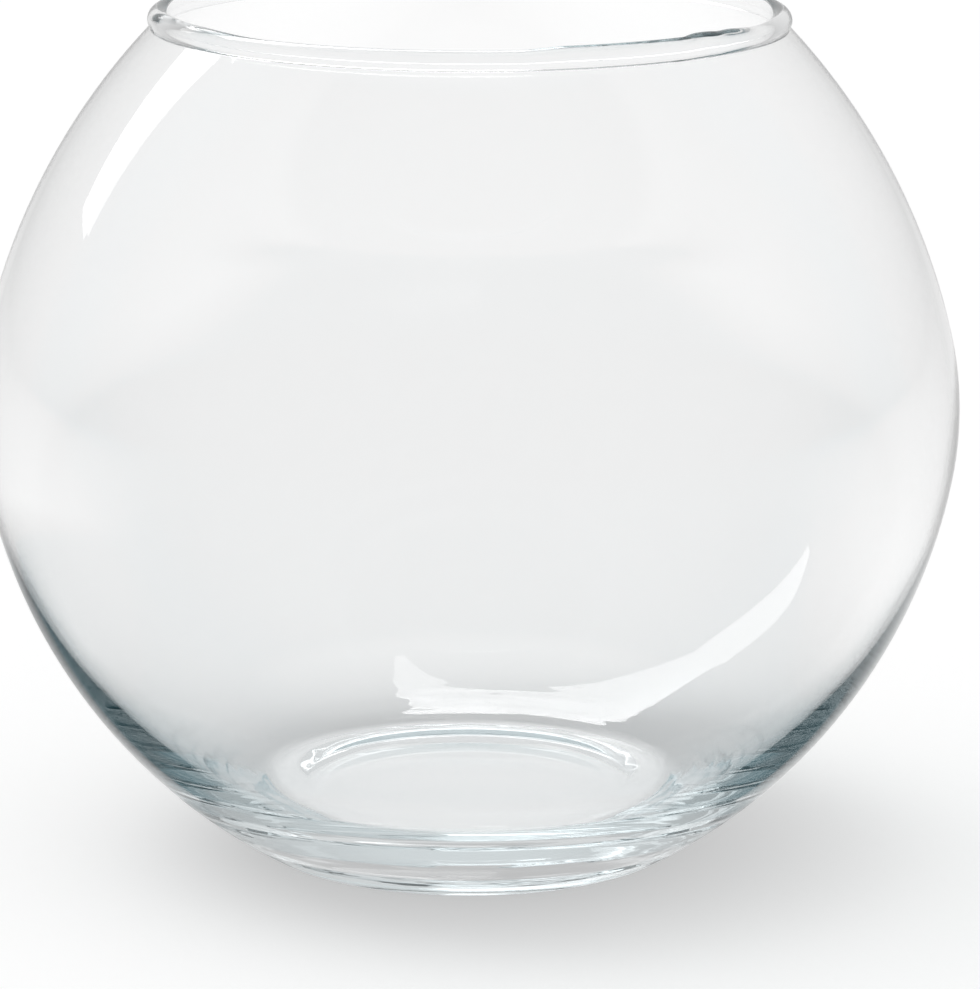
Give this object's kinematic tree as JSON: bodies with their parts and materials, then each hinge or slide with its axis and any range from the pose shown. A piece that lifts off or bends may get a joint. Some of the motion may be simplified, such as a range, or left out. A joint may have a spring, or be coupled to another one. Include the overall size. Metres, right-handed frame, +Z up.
{
  "type": "rose bowl vase",
  "caption": "Round clear glass rose bowl vase with a narrow open mouth, a rounded rim bead and a thick flat base; holds water and cut flowers on a table.",
  "frame": {"origin": "centre of the bowl on the surface it stands on", "axes": "+Z up along the bowl's axis of symmetry, with X and Y level"},
  "size_m": [0.15, 0.15, 0.1296],
  "materials": {
    "clear_glass": "clear soda-lime glass, blown in a mould, with a flame-polished lip"
  },
  "bodies": {
    "root": {"glass_bowl": "clear_glass"}
  },
  "joints": []
}
